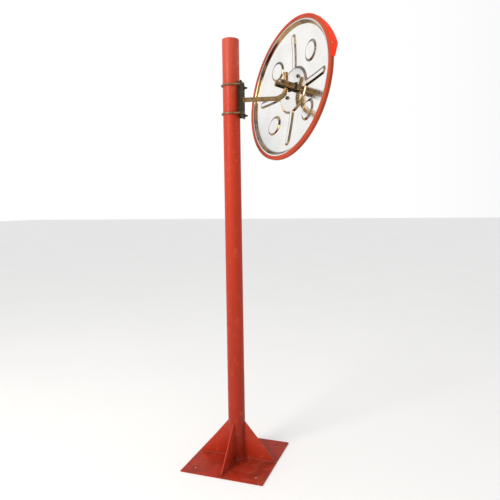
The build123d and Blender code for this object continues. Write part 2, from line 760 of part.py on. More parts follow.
# ---- Convex mirror sheet with its rolled skirt -----------------------------------------------
with BuildPart() as mirror_face:
    with BuildSketch(HEAD_PROFILE):
        with BuildLine():
            skirt_inner = MIRROR_RADIUS - SHEET
            skirt_end = BACK_FLANGE + SHEET
            corner = (skirt_inner, mirror_height(skirt_inner, -SHEET))
            Line((0, mirror_height(0, -SHEET)), (0, mirror_height(0)))
            ThreePointArc(
                (0, mirror_height(0)), (HALF_WAY, mirror_height(HALF_WAY)), (MIRROR_RADIUS, MIRROR_EDGE)
            )
            Polyline(
                (MIRROR_RADIUS, MIRROR_EDGE),
                (MIRROR_RADIUS, skirt_end),
                (skirt_inner, skirt_end),
                corner,
            )
            ThreePointArc(
                corner, (HALF_WAY, mirror_height(HALF_WAY, -SHEET)), (0, mirror_height(0, -SHEET))
            )
        make_face()
    revolve(axis=HEAD_AXIS)
    for rivet_angle in RIVET_ANGLES:
        with BuildSketch(head_radial(rivet_angle, RIVET_DEPTH)):
            Circle(RIVET_HOLE_D / 2)
        extrude(amount=CUT_REACH, mode=Mode.SUBTRACT)
save(mirror_face.part, "mirror_face")

# ---- Rim edging: one moulded ring over both sheets' edges ------------------------------------
with BuildPart() as rim_edging:
    with BuildSketch(HEAD_PROFILE):
        with BuildLine():
            wall_inner = MIRROR_RADIUS + EDGING_CLEARANCE
            Polyline(
                (EDGING_INNER, 0.0),
                (EDGING_OUTER, 0.0),
                (EDGING_OUTER, EDGING_DEPTH),
                (EDGING_LIP, EDGING_DEPTH),
                (EDGING_LIP, mirror_height(EDGING_LIP, EDGING_CLEARANCE)),
                (wall_inner, mirror_height(wall_inner, EDGING_CLEARANCE)),
                (wall_inner, EDGING_WEB),
                (EDGING_INNER, EDGING_WEB),
                close=True,
            )
        make_face()
    revolve(axis=HEAD_AXIS)
    rim_edges = rim_edging.edges().filter_by(GeomType.CIRCLE)
    outer_edges = rim_edges.filter_by(lambda e: abs(e.radius - EDGING_OUTER) < SAME_SIZE)
    fillet(outer_edges, EDGING_ROUND)
    for rivet_angle in RIVET_ANGLES:
        with BuildSketch(head_radial(rivet_angle, RIVET_DEPTH)):
            Circle(RIVET_HOLE_D / 2)
        extrude(amount=CUT_REACH, mode=Mode.SUBTRACT)
save(rim_edging.part, "rim_edging")

# ---- Visor: curved hood round the upper half, its ends swept back to the rim ------------------
VISOR_INNER = EDGING_OUTER + VISOR_GAP
VISOR_OUTER = VISOR_INNER + VISOR_THICKNESS
with BuildPart() as visor:
    with BuildSketch(HEAD_PROFILE):
        with BuildLine():
            middle = (VISOR_STRAIGHT + VISOR_FRONT) / 2
            outer_foot = (VISOR_OUTER, VISOR_STRAIGHT)
            outer_tip = (VISOR_OUTER - VISOR_TAPER, VISOR_FRONT)
            inner_foot = (VISOR_INNER, VISOR_STRAIGHT)
            inner_tip = (VISOR_INNER - VISOR_TAPER, VISOR_FRONT)
            Polyline(inner_foot, (VISOR_INNER, VISOR_BACK), (VISOR_OUTER, VISOR_BACK), outer_foot)
            ThreePointArc(outer_foot, (VISOR_OUTER - VISOR_BELLY, middle), outer_tip)
            Line(outer_tip, inner_tip)
            ThreePointArc(inner_tip, (VISOR_INNER - VISOR_BELLY, middle), inner_foot)
        make_face()
    revolve(axis=HEAD_AXIS)
    with BuildSketch(HEAD_SIDE):
        with BuildLine():
            side_top = (VISOR_END, VISOR_SIDE)
            tip_low = (VISOR_END + VISOR_TIP_LOW[0], VISOR_TIP_LOW[1])
            tip_high = (VISOR_END + VISOR_TIP_HIGH[0], VISOR_TIP_HIGH[1])
            Line((VISOR_END, 0), side_top)
            Spline(side_top, tip_low, tip_high, tangents=(VISOR_SWEEP_LOW, VISOR_SWEEP_HIGH))
            above = VISOR_FRONT + VISOR_TRIM_ABOVE
            past = tip_high[0] + VISOR_TRIM_PAST
            Polyline(tip_high, (past, above), (CUT_REACH, above), (CUT_REACH, 0), (VISOR_END, 0))
        make_face()
    extrude(amount=CUT_REACH, both=True, mode=Mode.INTERSECT)
    for rivet_angle in RIVET_ANGLES:
        with BuildSketch(head_radial(rivet_angle, RIVET_DEPTH)):
            Circle(RIVET_HOLE_D / 2)
        extrude(amount=CUT_REACH, mode=Mode.SUBTRACT)
save(visor.part, "visor")

TAIL_FACE = MIRROR_RADIUS - SHEET - RIVET_TAIL_GAP
with BuildPart() as visor_rivets:
    for rivet_angle in RIVET_ANGLES:
        radial = head_radial(rivet_angle, RIVET_DEPTH)
        with BuildSketch(radial.offset(TAIL_FACE)):
            Circle(RIVET_TAIL_D / 2)
        extrude(amount=-RIVET_TAIL)
        with BuildSketch(radial.offset(TAIL_FACE - RIVET_TAIL / 2)):
            Circle(RIVET_D / 2)
        extrude(amount=VISOR_OUTER - TAIL_FACE + RIVET_TAIL / 2 + RIVET_HEAD / 2)
        with BuildSketch(radial.offset(VISOR_OUTER)):
            Circle(RIVET_HEAD_D / 2)
        extrude(amount=RIVET_HEAD)
save(visor_rivets.part, "visor_rivets")
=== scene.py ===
"""Looks of the traffic convex mirror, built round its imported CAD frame.

Everything is in metres, in the CAD's frame: +Z up, origin on the pole's axis under the base plate.
"""

import json
import math
from typing import NamedTuple

import bmesh
import bpy
import numpy as np
from mathutils import Matrix, Vector, noise


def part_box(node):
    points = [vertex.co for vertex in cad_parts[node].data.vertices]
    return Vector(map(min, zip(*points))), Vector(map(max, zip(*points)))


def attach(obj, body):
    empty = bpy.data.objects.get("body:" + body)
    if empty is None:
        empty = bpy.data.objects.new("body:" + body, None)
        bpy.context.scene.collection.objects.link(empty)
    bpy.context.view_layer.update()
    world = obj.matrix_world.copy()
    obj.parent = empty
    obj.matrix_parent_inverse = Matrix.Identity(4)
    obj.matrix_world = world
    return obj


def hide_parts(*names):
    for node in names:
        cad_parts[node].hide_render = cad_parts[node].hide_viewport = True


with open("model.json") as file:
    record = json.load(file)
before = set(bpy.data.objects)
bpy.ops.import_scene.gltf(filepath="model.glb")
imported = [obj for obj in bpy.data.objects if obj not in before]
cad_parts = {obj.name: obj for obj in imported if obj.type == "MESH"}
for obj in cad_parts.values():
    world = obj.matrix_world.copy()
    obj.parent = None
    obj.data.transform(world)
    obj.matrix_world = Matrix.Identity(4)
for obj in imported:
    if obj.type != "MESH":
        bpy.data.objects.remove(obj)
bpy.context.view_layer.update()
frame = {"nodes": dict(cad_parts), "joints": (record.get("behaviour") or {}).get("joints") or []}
NODES = frame["nodes"]
JOINTS = {joint["name"]: joint for joint in frame["joints"]}
MM = 0.001

# ---- Places read from the frame, and the sizes of the object, in metres -------------------------
UP = Vector((0, 0, 1))
POLE_LOW, POLE_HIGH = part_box("pole_tube")
POLE_R = POLE_HIGH.x
PLATE_TOP = POLE_LOW.z
TILT_POINT = Vector(JOINTS["head_tilt"]["pos_m"])
LEVEL = Vector(JOINTS["head_tilt"]["axis"]).normalized()
ARM_HEIGHT = JOINTS["bracket_swivel"]["pos_m"][2]
ARM_OUT = Vector((TILT_POINT.x, TILT_POINT.y, 0)).normalized()
ARM_LEFT = UP.cross(ARM_OUT)

FRONT_DROOP = math.radians(9.0)
HEAD_ROLL = math.radians(6.5)
FLAT_FRONT = LEVEL.cross(UP)
NORMAL = FLAT_FRONT * math.cos(FRONT_DROOP) - UP * math.sin(FRONT_DROOP)
BACK = -NORMAL
STEM_UP = NORMAL.cross(LEVEL)
HEAD_X = Matrix.Rotation(-HEAD_ROLL, 3, NORMAL) @ LEVEL
HEAD_Y = NORMAL.cross(HEAD_X)
HUB_TO_TILT = 56 * MM
STEM_ABOVE_CENTRE = 20 * MM

MIRROR_RADIUS = 500 * MM
MIRROR_CURVE = 2200 * MM
MIRROR_EDGE = 19.5 * MM
SHEET = 1 * MM
BACK_CURVE = 2600 * MM
BACK_FLOOR_RADIUS = 455 * MM
BACK_FLOOR_EDGE = 26 * MM
BACK_FLANGE_RADIUS = 470 * MM
BACK_FLANGE = 3 * MM
EMBOSS_HEIGHT = 8 * MM
EMBOSS_SLOPE = 20 * MM
HUB_RADIUS = 172 * MM
RIB_WIDTH = 60 * MM
RIB_REACH = 415 * MM
BOSS_RADIUS = 76 * MM
BOSS_CIRCLE = 298 * MM
HUB_RISE = math.sqrt(BACK_CURVE**2 - HUB_RADIUS**2) - math.sqrt(BACK_CURVE**2 - BACK_FLOOR_RADIUS**2)
HUB_FACE = BACK_FLOOR_EDGE - EMBOSS_HEIGHT + HUB_RISE
HEAD_ORIGIN = TILT_POINT + NORMAL * (HUB_TO_TILT - HUB_FACE) - STEM_UP * STEM_ABOVE_CENTRE
# Per-vertex weight of the painted reflection on the back sheet's slopes and wall.
PAINTED_REFLECTION_ATTRIBUTE = "painted_reflection"

# ---- Mesh fineness of the two round sheets, how their turns are drawn, and their painted reflection ---
SHEET_STEPS = 720
FLOOR_STEP = 3.1 * MM
FLOOR_MARGIN = 10 * MM
WALL_ROUND = 7 * MM
WALL_ROUND_STEPS = 5
WALL_LINE_START = 6 * MM
WALL_LINE_END = 4 * MM
INNER_FACE_RADII = (0.4, 0.3, 0.2, 0.1)
PROBE = 0.002
FULL_REFLECTION_SLOPE = 0.42
MIRROR_STEPS = 240
MIRROR_RINGS = 50

# ---- Welds --------------------------------------------------------------------------------------
GUSSET_HALF = 4 * MM
EDGE_ROUND = 0.8 * MM
WELD_LEG = 5.5 * MM
WELD_START = 14 * MM
WELD_REACH = 278 * MM
WELD_TOP = 257 * MM
WELD_RING = 1.6 * MM
WELD_ARC_STEPS = 6
RINGS_PER_RIPPLE = 3.2

# ---- Bracket and clamp --------------------------------------------------------------------------
PLATE_OUT = 84 * MM
LEG_OFFSET = POLE_R + 6.4 * MM
U_BOLT_HALF_SPREAD = 100 * MM
LEGS = [(side * LEG_OFFSET, level * U_BOLT_HALF_SPREAD) for side in (-1, 1) for level in (-1, 1)]
HUB_BOLT_CIRCLE = 174 * MM
HUB_BOLT_ANGLES = (math.radians(130), math.radians(310))
SEAT_FACE = 45 * MM
CROSS_BOLT_BACK = 54 * MM
FOOT_THICKNESS = 6 * MM
FOOT_BOLT_OFFSET = 14 * MM
EAR_FACE = 12 * MM
PINCH_OFFSET = 33.5 * MM


# ---- Fasteners ----------------------------------------------------------------------------------
class Hexagon(NamedTuple):
    """A nut's or bolt head's width across flats, height, and bore (0 in a bolt head)."""

    flats: float
    height: float
    bore: float = 0.0


class Thread(NamedTuple):
    """A thread's outer diameter and pitch."""

    diameter: float
    pitch: float


ROD_WASHER = 2.5 * MM
CROSS_WASHER = 2 * MM
PINCH_WASHER = 1.6 * MM
ROD_NUT = Hexagon(18 * MM, 10 * MM, 12.2 * MM)
HUB_NUT = Hexagon(19 * MM, 10 * MM, 12.2 * MM)
FOOT_HEAD = Hexagon(18 * MM, 7.5 * MM)
CROSS_HEAD = Hexagon(17 * MM, 6.4 * MM)
CROSS_NUT = Hexagon(17 * MM, 8 * MM, 10.2 * MM)
PINCH_HEAD = Hexagon(13 * MM, 5.3 * MM)
PINCH_NUT = Hexagon(13 * MM, 6.5 * MM, 8.2 * MM)
ROD_THREAD = Thread(12.5 * MM, 1.75 * MM)
HUB_THREAD = Thread(12.4 * MM, 1.75 * MM)
FOOT_THREAD = Thread(12 * MM, 1.75 * MM)
CROSS_THREAD = Thread(10 * MM, 1.5 * MM)
PINCH_THREAD = Thread(8 * MM, 1.25 * MM)
ROD_PAST_NUT = 9.4 * MM
HUB_PAST_NUT = 3 * MM
FOOT_SHANK = 22 * MM
CROSS_SHANK = 2 * SEAT_FACE + 20 * MM
PINCH_SHANK = 36 * MM
ROD_NUT_TURNS = (0.3, 1.1, -0.5, 0.75)
HEX_CHAMFER = ((0.0, 1.0), (0.06, 0.5), (0.14, 0.0), (0.86, 0.0), (0.94, 0.5), (1.0, 1.0))
HEX_CORNER = 0.578
HEX_CUT = 0.1
HEX_STEPS = 48
BORE_BEVEL = 0.5 * MM
THREAD_DEPTH = 0.55
THREAD_STEPS = 24

# ---- Camera, floor and light --------------------------------------------------------------------
CAMERA_PLACE = Vector((1369.2, -3244.8, 1824.7)) * MM
CAMERA_YAW = math.radians(-18.607)
CAMERA_PITCH = math.radians(-1.727)
CAMERA_ROLL = math.radians(-0.825)
CAMERA_LENS = 35.29
CAMERA_SENSOR = 36.0
CAMERA_SHIFT = (-0.04, -0.06)
CAMERA_FAR = 200.0
FLOOR_REACH = 60.0
FLOOR_DROP = 0.5 * MM
WORLD_STRENGTH = 1.0
WORLD_WHITE = (1.0, 1.0, 1.0, 1.0)
WORLD_SHADE = (0.6, 0.59, 0.58, 1.0)
WORLD_BAND = (0.56, 0.6, 0.66, 1.0)
SHADE_SPAN = (-0.1, 0.9)
BAND_FADES_IN = (0.4, 0.45)
BAND_FADES_OUT = (0.62, 0.74)
KEY_PLACE = (-2.4, -4.7, 4.2)
KEY_TARGET = (0.1, 0.0, 1.7)
KEY_SIZE = (2.4, 2.4)
KEY_POWER = 200.0
KEY_COLOUR = (1.0, 0.95, 0.88)


def head_point(x, y, z):
    """A point of the head's own frame (z to the front, y to the crown) in the shared frame."""
    return HEAD_ORIGIN + HEAD_X * x + HEAD_Y * y + NORMAL * z


def bracket_point(out, left, up):
    """A point of the bracket's frame (out along the arm, left of it, up from it)."""
    return ARM_OUT * out + ARM_LEFT * left + Vector((0, 0, ARM_HEIGHT + up))


def stem_point(level, up, ahead):
    """A point of the stem's frame (level to the left, up, ahead towards the mirror's front)."""
    return TILT_POINT + LEVEL * level + STEM_UP * up + NORMAL * ahead


# ---- Materials ---------------------------------------------------------------------------------
class Shader:
    """A procedural material being wired up: nodes are made by type and joined by name."""

    def __init__(self, name):
        self.material = bpy.data.materials.new(name)
        self.material.use_nodes = True
        self.tree = self.material.node_tree
        self.bsdf = self.tree.nodes["Principled BSDF"]
        self.coords = self.tree.nodes.new("ShaderNodeTexCoord").outputs["Object"]

    def join(self, value, socket):
        if isinstance(value, bpy.types.NodeSocket):
            self.tree.links.new(value, socket)
        else:
            socket.default_value = value

    def node(self, kind, inputs, output=0, **settings):
        made = self.tree.nodes.new(kind)
        for name, value in settings.items():
            setattr(made, name, value)
        for name, value in inputs.items():
            self.join(value, made.inputs[name])
        return made.outputs[output]

    def stretched(self, scale):
        return self.node("ShaderNodeMapping", {"Vector": self.coords, "Scale": scale})

    def noise(self, scale, detail=4.0, rough=0.55, at=None, distortion=0.0):
        inputs = {
            "Vector": at or self.coords,
            "Scale": scale,
            "Detail": detail,
            "Roughness": rough,
            "Distortion": distortion,
        }
        return self.node("ShaderNodeTexNoise", inputs)

    def span(self, value, low, high, out_low=0.0, out_high=1.0):
        inputs = {
            "Value": value,
            "From Min": low,
            "From Max": high,
            "To Min": out_low,
            "To Max": out_high,
        }
        return self.node("ShaderNodeMapRange", inputs, clamp=True)

    def math(self, operation, a, b):
        return self.node("ShaderNodeMath", {0: a, 1: b}, operation=operation, use_clamp=True)

    def mix(self, factor, a, b):
        made = self.tree.nodes.new("ShaderNodeMix")
        made.data_type = "RGBA"
        self.join(factor, made.inputs[0])
        self.join(a, made.inputs[6])
        self.join(b, made.inputs[7])
        return made.outputs[2]

    def axis(self, letter):
        return self.node("ShaderNodeSeparateXYZ", {"Vector": self.coords}, output="XYZ".index(letter))

    def bump(self, height, strength, distance):
        inputs = {"Height": height, "Strength": strength, "Distance": distance}
        self.join(self.node("ShaderNodeBump", inputs), self.bsdf.inputs["Normal"])

    def finish(self, **inputs):
        for name, value in inputs.items():
            self.join(value, self.bsdf.inputs[name.replace("_", " ")])
        return self.material


def rgb(r, g, b):
    """A colour given as 0-255 screen values, as the linear colour a shader takes."""
    return tuple(((c / 255 + 0.055) / 1.055) ** 2.4 for c in (r, g, b)) + (1.0,)


def post_paint(name, clean, worn, rust_amount):
    """Red-orange paint: paler at the top, darker towards the ground, with scuffs and rust."""
    s = Shader(name)
    height = s.axis("Z")
    broad = s.noise(3.2, 5.0, 0.6)
    streaks = s.noise(9.0, 6.0, 0.65, at=s.stretched((3.0, 3.0, 0.16)))
    low = s.span(height, 1.9, 0.05)
    wear = s.math("MULTIPLY", low, s.span(broad, 0.25, 0.75, 0.55, 1.0))
    colour = s.mix(wear, clean, worn)
    colour = s.mix(s.span(height, 2.45, 3.0, 0.0, 0.4), colour, rgb(204, 104, 82))
    colour = s.mix(s.span(streaks, 0.5, 0.78, 0.0, 0.42), colour, rgb(122, 38, 24))
    colour = s.mix(s.span(s.noise(17.0, 5.0, 0.7), 0.56, 0.8, 0.0, 0.3), colour, rgb(236, 128, 92))
    scuffs = s.noise(46.0, 3.0, 0.8, at=s.stretched((1.0, 1.0, 0.4)))
    scuffed = s.math("MULTIPLY", s.span(scuffs, 0.67, 0.73), s.span(height, 1.1, 0.1, 0.1, 0.8))
    colour = s.mix(scuffed, colour, rgb(96, 40, 28))
    specks = s.span(s.noise(88.0, 2.0, 0.5), 0.73, 0.76)
    rust = s.math("MULTIPLY", specks, rust_amount)
    colour = s.mix(rust, colour, rgb(92, 46, 24))
    rough = s.span(s.noise(26.0, 4.0), 0.3, 0.7, 0.34, 0.52)
    s.bump(s.noise(260.0, 2.0, 0.5), 0.12, 0.0012)
    return s.finish(
        Base_Color=colour,
        Roughness=rough,
        Specular_IOR_Level=0.2,
        Coat_Weight=0.04,
        Coat_Roughness=0.25,
    )


def plate_paint():
    """The base plate's paint: walked-on and dusty, with scratches and spots of rust."""
    s = Shader("plate_paint")
    broad = s.noise(6.0, 6.0, 0.65)
    colour = s.mix(s.span(broad, 0.32, 0.68), rgb(178, 46, 24), rgb(120, 34, 16))
    dust = s.noise(14.0, 6.0, 0.7, distortion=0.6)
    colour = s.mix(s.span(dust, 0.5, 0.74, 0.0, 0.5), colour, rgb(176, 92, 62))
    scratches = s.noise(90.0, 2.0, 0.5, at=s.stretched((0.3, 2.2, 1.0)))
    colour = s.mix(s.span(scratches, 0.69, 0.72, 0.0, 0.7), colour, rgb(86, 44, 32))
    rust = s.span(s.noise(60.0, 3.0, 0.6), 0.69, 0.73, 0.0, 0.85)
    colour = s.mix(rust, colour, rgb(82, 44, 26))
    rough = s.span(dust, 0.35, 0.7, 0.42, 0.68)
    s.bump(s.noise(180.0, 3.0, 0.6), 0.2, 0.0015)
    return s.finish(Base_Color=colour, Roughness=rough, Specular_IOR_Level=0.18)


def yellow_zinc(name, light, dark, rough_low, rough_high, metallic=0.92):
    """Yellow-passivated zinc plating gone dull, with brown stains."""
    s = Shader(name)
    cloud = s.noise(22.0, 5.0, 0.6, distortion=0.4)
    colour = s.mix(s.span(cloud, 0.3, 0.7), light, dark)
    stain = s.noise(60.0, 4.0, 0.65)
    colour = s.mix(s.span(stain, 0.56, 0.74, 0.0, 0.6), colour, rgb(78, 56, 36))
    rough = s.span(s.noise(75.0, 3.0), 0.3, 0.7, rough_low, rough_high)
    s.bump(s.noise(420.0, 2.0), 0.1, 0.0006)
    return s.finish(Base_Color=colour, Metallic=metallic, Roughness=rough, Specular_IOR_Level=0.25)


def polished_back():
    """Polished sheet: nearly a mirror, with painted reflection in gold to brown on the slopes where the
    pressing turns.
    """
    s = Shader("polished_back")
    haze = s.noise(7.0, 5.0, 0.6)
    colour = s.mix(s.span(haze, 0.35, 0.7), (0.94, 0.93, 0.91, 1.0), (0.86, 0.84, 0.81, 1.0))
    # Painted reflection: gold to brown colour laid on the slopes and the wall, standing in for
    # surroundings mirrored there.
    turn = s.node("ShaderNodeAttribute", {}, output="Fac", attribute_name=PAINTED_REFLECTION_ATTRIBUTE)
    patchy = s.math("MULTIPLY", turn, s.span(s.noise(16.0, 4.0, 0.6), 0.3, 0.7, 0.8, 1.0))
    gold_or_brown = s.mix(s.span(s.noise(4.0, 3.0, 0.5), 0.44, 0.64), rgb(164, 126, 66), rgb(70, 52, 34))
    colour = s.mix(patchy, colour, gold_or_brown)
    rough = s.span(s.noise(30.0, 5.0, 0.7), 0.35, 0.72, 0.07, 0.17)
    s.bump(s.noise(5.0, 3.0, 0.4), 0.08, 0.004)
    return s.finish(Base_Color=colour, Metallic=1.0, Roughness=rough)


def mirror_surface():
    """The reflecting face, dulled a little in patches by dust."""
    s = Shader("mirror_surface")
    dust = s.span(s.noise(18.0, 6.0, 0.7), 0.4, 0.8, 0.015, 0.06)
    return s.finish(Base_Color=(0.93, 0.94, 0.95, 1.0), Metallic=1.0, Roughness=dust)


def moulded_plastic(name, light, dark, rough, translucency, glow=0.0):
    """Moulded plastic, unevenly faded and dirty; glow stands in for light passing through it."""
    s = Shader(name)
    fade = s.noise(5.0, 4.0, 0.6)
    colour = s.mix(s.span(fade, 0.32, 0.7), light, dark)
    dirt = s.noise(38.0, 5.0, 0.7)
    colour = s.mix(s.span(dirt, 0.6, 0.8, 0.0, 0.35), colour, rgb(140, 52, 32))
    gloss = s.span(s.noise(55.0, 3.0), 0.3, 0.7, rough - 0.05, rough + 0.1)
    s.bump(s.noise(300.0, 2.0), 0.06, 0.0008)
    return s.finish(
        Base_Color=colour,
        Roughness=gloss,
        Subsurface_Weight=translucency,
        Subsurface_Radius=(0.006, 0.0015, 0.0008),
        Specular_IOR_Level=0.14,
        Emission_Color=light,
        Emission_Strength=glow,
    )


def plain_metal(name, light, dark, rough):
    """Bare or plated fastener metal."""
    s = Shader(name)
    colour = s.mix(s.span(s.noise(120.0, 4.0, 0.6), 0.35, 0.68), light, dark)
    gloss = s.span(s.noise(160.0, 3.0), 0.3, 0.7, rough - 0.06, rough + 0.1)
    return s.finish(Base_Color=colour, Metallic=0.95, Roughness=gloss)


POST_PAINT = post_paint("post_paint", rgb(186, 52, 24), rgb(146, 36, 14), 0.55)
GUSSET_PAINT = post_paint("gusset_paint", rgb(204, 60, 30), rgb(164, 44, 22), 0.8)
PLATE_PAINT = plate_paint()
WELD_PAINT = post_paint("weld_paint", rgb(188, 58, 38), rgb(132, 40, 26), 0.9)
ARM_ZINC = yellow_zinc("arm_zinc", rgb(166, 136, 92), rgb(108, 84, 54), 0.24, 0.4)
# Dull olive zinc, made far darker than the arm's zinc as painted shade on the plate, saddle, collar,
# foot and backing plate.
SHADED_PLATE_ZINC = yellow_zinc("plate_zinc_painted_shade", rgb(58, 54, 36), rgb(36, 34, 24), 0.6, 0.78, 0.3)
ROD_ZINC = yellow_zinc("rod_zinc", rgb(150, 130, 92), rgb(92, 78, 56), 0.28, 0.46)
BOLT_STEEL = plain_metal("bolt_steel", rgb(120, 108, 84), rgb(64, 56, 44), 0.4)
BRIGHT_BOLT = plain_metal("bright_bolt", rgb(190, 186, 176), rgb(140, 134, 122), 0.3)
POLISHED_BACK = polished_back()
MIRROR_SURFACE = mirror_surface()
EDGING_PLASTIC = moulded_plastic("edging_plastic", rgb(184, 74, 42), rgb(164, 58, 32), 0.5, 0.0)
VISOR_PLASTIC = moulded_plastic("visor_plastic", rgb(255, 58, 12), rgb(248, 46, 8), 0.5, 0.2, 0.16)
RIVET_METAL = plain_metal("rivet_metal", rgb(196, 196, 194), rgb(150, 150, 148), 0.3)

NODE_LOOKS = {
    POST_PAINT: ("pole_tube", "pole_cap"),
    GUSSET_PAINT: ("gusset_right", "gusset_back", "gusset_left", "gusset_front"),
    PLATE_PAINT: ("base_plate",),
    WELD_PAINT: ("pole_weld",),
    ARM_ZINC: ("arm_pipe", "arm_weld", "arm_end_cap", "yoke_bar_left", "yoke_bar_right", "cross_spacer"),
    SHADED_PLATE_ZINC: ("bracket_plate", "saddle_channel", "stub_collar", "yoke_foot", "hub_backing_plate"),
    ROD_ZINC: ("u_bolt_upper", "u_bolt_lower"),
    BOLT_STEEL: (
        "u_bolt_washers",
        "u_bolt_nuts",
        "pinch_bolt",
        "pinch_nut",
        "pinch_washers",
        "cross_bolt",
        "cross_nut",
        "cross_washers",
        "foot_bolts",
        "foot_weld_nuts",
    ),
    BRIGHT_BOLT: ("hub_bolts", "hub_washers", "hub_nuts"),
    POLISHED_BACK: ("back_plate",),
    MIRROR_SURFACE: ("mirror_face",),
    EDGING_PLASTIC: ("rim_edging",),
    VISOR_PLASTIC: ("visor",),
    RIVET_METAL: ("visor_rivets",),
}
for look, names in NODE_LOOKS.items():
    for name in names:
        NODES[name].data.materials.clear()
        NODES[name].data.materials.append(look)


# ---- Mesh helpers ------------------------------------------------------------------------------
def piece(name, vertices, faces, material, body, slot, smooth_angle=40.0):
    """One new mesh object, shaded smooth up to an angle, riding on a body."""
    mesh = bpy.data.meshes.new(name)
    mesh.from_pydata([tuple(v) for v in vertices], [], faces)
    mesh.validate()
    made = bmesh.new()
    made.from_mesh(mesh)
    bmesh.ops.recalc_face_normals(made, faces=made.faces)
    sharp = math.radians(smooth_angle)
    for edge in made.edges:
        edge.smooth = len(edge.link_faces) == 2 and edge.calc_face_angle(math.pi) < sharp
    for face in made.faces:
        face.smooth = True
    made.to_mesh(mesh)
    made.free()
    mesh.materials.append(material)
    obj = bpy.data.objects.new(name, mesh)
    bpy.context.scene.collection.objects.link(obj)
    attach(obj, body)
    return obj


def turned(rings, steps, frame_of, closed_ends=True):
    """Vertices and faces of a body of revolution from (radius, height) rings along its axis."""
    vertices, faces = [], []
    origin, across, along, axis = frame_of
    for radius, height in rings:
        for step in range(steps):
            angle = 2 * math.pi * step / steps
            side = across * math.cos(angle) + along * math.sin(angle)
            vertices.append(origin + axis * height + side * radius)
    for ring in range(len(rings) - 1):
        for step in range(steps):
            a = ring * steps + step
            b = ring * steps + (step + 1) % steps
            faces.append((a, b, b + steps, a + steps))
    if closed_ends:
        faces.append(tuple(range(steps)))
        faces.append(tuple(range((len(rings) - 1) * steps, len(rings) * steps)))
    return vertices, faces


def axes_from(axis):
    """Two unit vectors across an axis, the first level where it can be, and the unit axis."""
    axis = axis.normalized()
    across = UP.cross(axis)
    if across.length < 0.1:
        across = Vector((1, 0, 0))
    across.normalize()
    return across, axis.cross(across), axis


def smoothstep(value):
    """0 below 0, 1 above 1, and an even S-curve between."""
    t = np.clip(value, 0.0, 1.0)
    return t * t * (3 - 2 * t)


# ---- Pressed back plate, with rounded embossing --------------------------------------------------
def back_height(radius):
    """Rear face of the dish's floor at a radius."""
    rise = np.sqrt(BACK_CURVE**2 - radius**2) - math.sqrt(BACK_CURVE**2 - BACK_FLOOR_RADIUS**2)
    return BACK_FLOOR_EDGE + rise


def rear_surface(x, y):
    """Rear face of the back plate, with its hub, ribs and bosses raised by smooth slopes."""
    radius = np.hypot(x, y)
    floor = back_height(np.minimum(radius, BACK_FLOOR_RADIUS))
    inside = -np.ones_like(radius)
    half = RIB_WIDTH / 2
    reach = RIB_REACH - half
    for along, across in ((x, y), (y, x)):
        past = np.maximum(np.abs(along) - reach, 0.0)
        inside = np.maximum(inside, half - np.hypot(past, across))
    offset = BOSS_CIRCLE / math.sqrt(2)
    boss = BOSS_RADIUS - np.hypot(np.abs(x) - offset, np.abs(y) - offset)
    raised = floor - EMBOSS_HEIGHT * smoothstep(np.maximum(inside, boss) / EMBOSS_SLOPE)
    hub = smoothstep((HUB_RADIUS - radius) / EMBOSS_SLOPE)
    return raised * (1 - hub) + HUB_FACE * hub


def rounded_profile(corners, round_length, steps):
    """A polyline whose inner corners are replaced by short quadratic curves."""
    points = [corners[0]]
    for before, corner, after in zip(corners, corners[1:], corners[2:]):
        before, corner, after = map(Vector, (before, corner, after))
        start = corner + (before - corner).normalized() * round_length
        end = corner + (after - corner).normalized() * round_length
        for step in range(steps + 1):
            t = step / steps
            points.append(start * (1 - t) ** 2 + corner * 2 * t * (1 - t) + end * t**2)
    points.append(corners[-1])
    return [tuple(p) for p in points]


